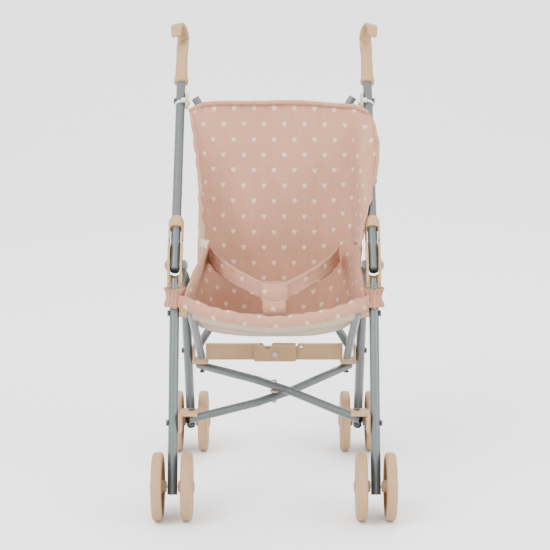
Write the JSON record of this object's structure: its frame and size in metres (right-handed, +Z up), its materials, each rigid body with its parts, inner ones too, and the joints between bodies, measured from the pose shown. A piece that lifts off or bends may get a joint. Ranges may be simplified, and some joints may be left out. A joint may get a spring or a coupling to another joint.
{
  "type": "doll stroller",
  "caption": "Doll stroller with a grey tube frame, tan hooked handles, double wheels and a printed muslin sling seat with waist straps.",
  "frame": {"origin": "middle of the stroller on the floor: halfway between the two sides and between the front and rear wheels", "axes": "+X across the stroller, +Z up from the floor to the handles, -Y to the front where the doll faces"},
  "size_m": [0.2736, 0.345, 0.5334],
  "materials": {
    "frame_metal": "satin",
    "tan_plastic": "satin",
    "wheel_plastic": "matte",
    "steel": "polished",
    "black_bolt": "satin",
    "plug_dark": "matte",
    "fabric_print": "matte",
    "fabric_lining": "matte",
    "tie_white": "satin"
  },
  "bodies": {
    "frame": {"front_leg_left": "frame_metal", "front_leg_right": "frame_metal", "rear_leg_left": "frame_metal", "rear_leg_right": "frame_metal", "knee_bracket_left": "tan_plastic", "knee_bracket_right": "tan_plastic", "knee_pin_left": "steel", "knee_pin_right": "steel", "seat_spacer_left": "tan_plastic", "seat_spacer_right": "tan_plastic", "leg_bolts": "black_bolt", "front_cross_bracket_left": "tan_plastic", "front_cross_bracket_right": "tan_plastic", "rear_cross_bracket_left": "tan_plastic", "rear_cross_bracket_right": "tan_plastic", "lower_cross_tube_upper": "frame_metal", "lower_cross_tube_lower": "frame_metal", "lower_cross_rivet": "steel", "lower_cross_washer": "tan_plastic", "cross_bolts": "black_bolt", "crossbar_left": "tan_plastic", "crossbar_right": "tan_plastic", "crossbar_rivet": "steel", "axle_front_left": "steel", "axle_front_right": "steel", "axle_rear_left": "steel", "axle_rear_right": "steel", "front_band": "fabric_print"},
    "upper_frame": {"handle_tube_left": "frame_metal", "handle_tube_right": "frame_metal", "handle_grip_left": "tan_plastic", "handle_grip_right": "tan_plastic", "tube_plug_left": "plug_dark", "tube_plug_right": "plug_dark", "upper_bracket_left": "tan_plastic", "upper_bracket_right": "tan_plastic", "upper_bolts": "black_bolt", "back_cross_tube_front": "frame_metal", "back_cross_tube_rear": "frame_metal", "back_cross_rivet": "steel", "corner_ties": "tie_white"},
    "seat": {"seat_tube_left": "frame_metal", "seat_tube_right": "frame_metal", "seat_bottom": "fabric_print", "crotch_strap": "fabric_print", "waist_belt_left": "fabric_print", "waist_belt_right": "fabric_print"},
    "seat_back_panel": {"seat_back": "fabric_print"},
    "left_collar": {"lock_collar_left": "tan_plastic"},
    "right_collar": {"lock_collar_right": "tan_plastic"},
    "wheel_front_left_outer_body": {"wheel_front_left_outer": "wheel_plastic"},
    "wheel_front_left_inner_body": {"wheel_front_left_inner": "wheel_plastic"},
    "wheel_front_right_outer_body": {"wheel_front_right_outer": "wheel_plastic"},
    "wheel_front_right_inner_body": {"wheel_front_right_inner": "wheel_plastic"},
    "wheel_rear_left_outer_body": {"wheel_rear_left_outer": "wheel_plastic"},
    "wheel_rear_left_inner_body": {"wheel_rear_left_inner": "wheel_plastic"},
    "wheel_rear_right_outer_body": {"wheel_rear_right_outer": "wheel_plastic"},
    "wheel_rear_right_inner_body": {"wheel_rear_right_inner": "wheel_plastic"}
  },
  "joints": [
    {"name": "handle_fold", "type": "hinge", "parent": "frame", "child": "upper_frame", "pos_m": [0, -0.04612, 0.26903], "axis": [1, 0, 0], "range_deg": [0, 85]},
    {"name": "seat_lift", "type": "hinge", "parent": "frame", "child": "seat", "pos_m": [0, -0.06584, 0.21768], "axis": [1, 0, 0], "range_deg": [0, 57.9]},
    {"name": "seat_back_swing", "type": "hinge", "parent": "upper_frame", "child": "seat_back_panel", "pos_m": [0, 0.08715, 0.44015], "axis": [-1, 0, 0], "range_deg": [0, 15.4]},
    {"name": "left_collar_slide", "type": "slide", "parent": "upper_frame", "child": "left_collar", "axis": [0, 0.6428, 0.766], "range_m": [0, 0.025]},
    {"name": "right_collar_slide", "type": "slide", "parent": "upper_frame", "child": "right_collar", "axis": [0, 0.6428, 0.766], "range_m": [0, 0.025]},
    {"name": "wheel_front_left_outer_spin", "type": "hinge", "parent": "frame", "child": "wheel_front_left_outer_body", "pos_m": [-0.128, -0.135, 0.0375], "axis": [1, 0, 0], "continuous": true},
    {"name": "wheel_front_left_inner_spin", "type": "hinge", "parent": "frame", "child": "wheel_front_left_inner_body", "pos_m": [-0.096, -0.135, 0.0375], "axis": [1, 0, 0], "continuous": true},
    {"name": "wheel_front_right_outer_spin", "type": "hinge", "parent": "frame", "child": "wheel_front_right_outer_body", "pos_m": [0.128, -0.135, 0.0375], "axis": [1, 0, 0], "continuous": true},
    {"name": "wheel_front_right_inner_spin", "type": "hinge", "parent": "frame", "child": "wheel_front_right_inner_body", "pos_m": [0.096, -0.135, 0.0375], "axis": [1, 0, 0], "continuous": true},
    {"name": "wheel_rear_left_outer_spin", "type": "hinge", "parent": "frame", "child": "wheel_rear_left_outer_body", "pos_m": [-0.121, 0.135, 0.0375], "axis": [1, 0, 0], "continuous": true},
    {"name": "wheel_rear_left_inner_spin", "type": "hinge", "parent": "frame", "child": "wheel_rear_left_inner_body", "pos_m": [-0.089, 0.135, 0.0375], "axis": [1, 0, 0], "continuous": true},
    {"name": "wheel_rear_right_outer_spin", "type": "hinge", "parent": "frame", "child": "wheel_rear_right_outer_body", "pos_m": [0.121, 0.135, 0.0375], "axis": [1, 0, 0], "continuous": true},
    {"name": "wheel_rear_right_inner_spin", "type": "hinge", "parent": "frame", "child": "wheel_rear_right_inner_body", "pos_m": [0.089, 0.135, 0.0375], "axis": [1, 0, 0], "continuous": true}
  ],
  "couplings": [
    {"joint": "seat_lift", "follows": "handle_fold", "ratio": 0.68},
    {"joint": "seat_back_swing", "follows": "handle_fold", "ratio": 0.18}
  ]
}
